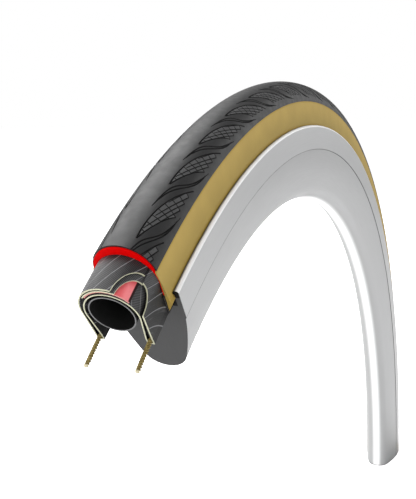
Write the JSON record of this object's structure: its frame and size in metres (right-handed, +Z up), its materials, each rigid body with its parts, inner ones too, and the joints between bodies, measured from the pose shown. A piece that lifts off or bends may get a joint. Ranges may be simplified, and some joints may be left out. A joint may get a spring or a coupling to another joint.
{
  "type": "bicycle tire",
  "caption": "Cutaway arc of a road bicycle tire on a deep rim, its tread, sidewalls, plies, belt, beads and inner tube cut back in steps at one end.",
  "frame": {"origin": "centre of the rim's flat far cut end, where the section stands on its holder", "axes": "+Z up, the wheel plane is XZ, the wheel axis is parallel to Y through x = -0.29765 m; the section rises from the far end and arches over towards -X"},
  "size_m": [0.5399, 0.0288, 0.3404],
  "materials": {
    "tread_black": "satin black rubber",
    "tread_red": "matte red rubber",
    "sidewall_tan": "matte tan rubber",
    "black_rubber": "matte",
    "casing_fabric": "rubberised black cord fabric",
    "belt_pink": "pink woven belt",
    "bead_cord": "golden brown braided aramid",
    "tube_black": "smooth",
    "rim_silver": "satin anodised",
    "cut_grey": "matte dark grey",
    "cut_black": "matte black"
  },
  "bodies": {
    "root": {"tread_cap": "tread_black", "tread_base": "tread_red", "sidewall_left": "sidewall_tan", "sidewall_right": "sidewall_tan", "chafer_left": "black_rubber", "chafer_right": "black_rubber", "outer_ply": "casing_fabric", "middle_ply": "casing_fabric", "inner_ply": "casing_fabric", "skim_rubber": "black_rubber", "puncture_belt": "belt_pink", "belt_cushion": "black_rubber", "filler_left": "black_rubber", "filler_right": "black_rubber", "bead_core_left": "bead_cord", "bead_core_right": "bead_cord", "inner_tube": "tube_black", "rim_body": "rim_silver", "rim_fairing": "rim_silver", "far_plate": "cut_grey", "near_plate": "cut_grey", "far_hook_left": "cut_black", "far_hook_right": "cut_black", "near_hook_left": "cut_black", "near_hook_right": "cut_black"}
  },
  "joints": []
}
